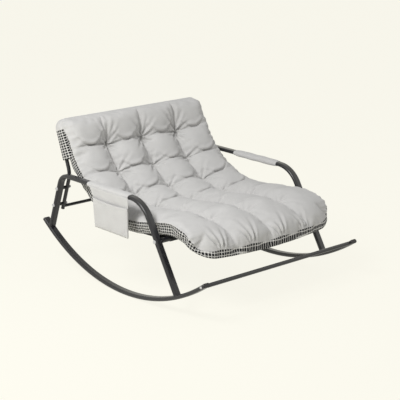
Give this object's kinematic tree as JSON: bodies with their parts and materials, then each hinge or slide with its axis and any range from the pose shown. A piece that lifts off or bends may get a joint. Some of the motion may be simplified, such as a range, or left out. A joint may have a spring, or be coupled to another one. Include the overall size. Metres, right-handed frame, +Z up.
{
  "type": "rocking lounge chair",
  "caption": "Rocking lounge chair: flat-oval tube frame on curved runners, hung sling, long tufted cushion hooded over the back loop, padded arms and a side pocket.",
  "frame": {"origin": "on the floor in the chair's mid-plane, 10 mm in front of the line the rockers touch", "axes": "+Z up, -Y to the front, +X to the sitter's left"},
  "size_m": [1.0225, 1.2557, 0.7561],
  "materials": {
    "powder_coat": "satin",
    "chrome_bolts": "polished",
    "zinc_steel": "satin",
    "black_plastic": "matte",
    "pale_plastic": "matte",
    "canvas": "matte",
    "check_cloth": "matte",
    "sling_cloth": "matte",
    "pad_foam": "matte"
  },
  "bodies": {
    "frame": {"back_loop": "powder_coat", "back_loop_bolt_caps": "pale_plastic", "back_loop_bolts": "chrome_bolts", "back_loop_foot_plugs": "black_plastic", "back_loop_nuts": "zinc_steel", "back_loop_spacers": "black_plastic", "back_loop_washers": "zinc_steel", "cushion": "canvas", "cushion_hood": "check_cloth", "front_crossbar": "powder_coat", "front_crossbar_bolts": "chrome_bolts", "front_seat_bar": "powder_coat", "left_arm_frame": "powder_coat", "left_arm_pad_cover": "canvas", "left_arm_pad_foam": "pad_foam", "left_front_rocker_cap": "black_plastic", "left_rear_rocker_cap": "black_plastic", "left_rocker": "powder_coat", "rear_crossbar": "powder_coat", "right_arm_frame": "powder_coat", "right_arm_pad_cover": "canvas", "right_arm_pad_foam": "pad_foam", "right_front_rocker_cap": "black_plastic", "right_rear_rocker_cap": "black_plastic", "right_rocker": "powder_coat", "seat_bar_bolt_caps": "pale_plastic", "seat_bar_bolts": "chrome_bolts", "seat_bar_inserts": "zinc_steel", "sling": "sling_cloth"},
    "pocket": {"side_pocket": "canvas"}
  },
  "joints": [
    {"name": "pocket_swing", "type": "hinge", "parent": "frame", "child": "pocket", "pos_m": [-0.5065, 0.08, 0.4925], "axis": [0, 1, 0], "range_deg": [-10, 90]}
  ]
}
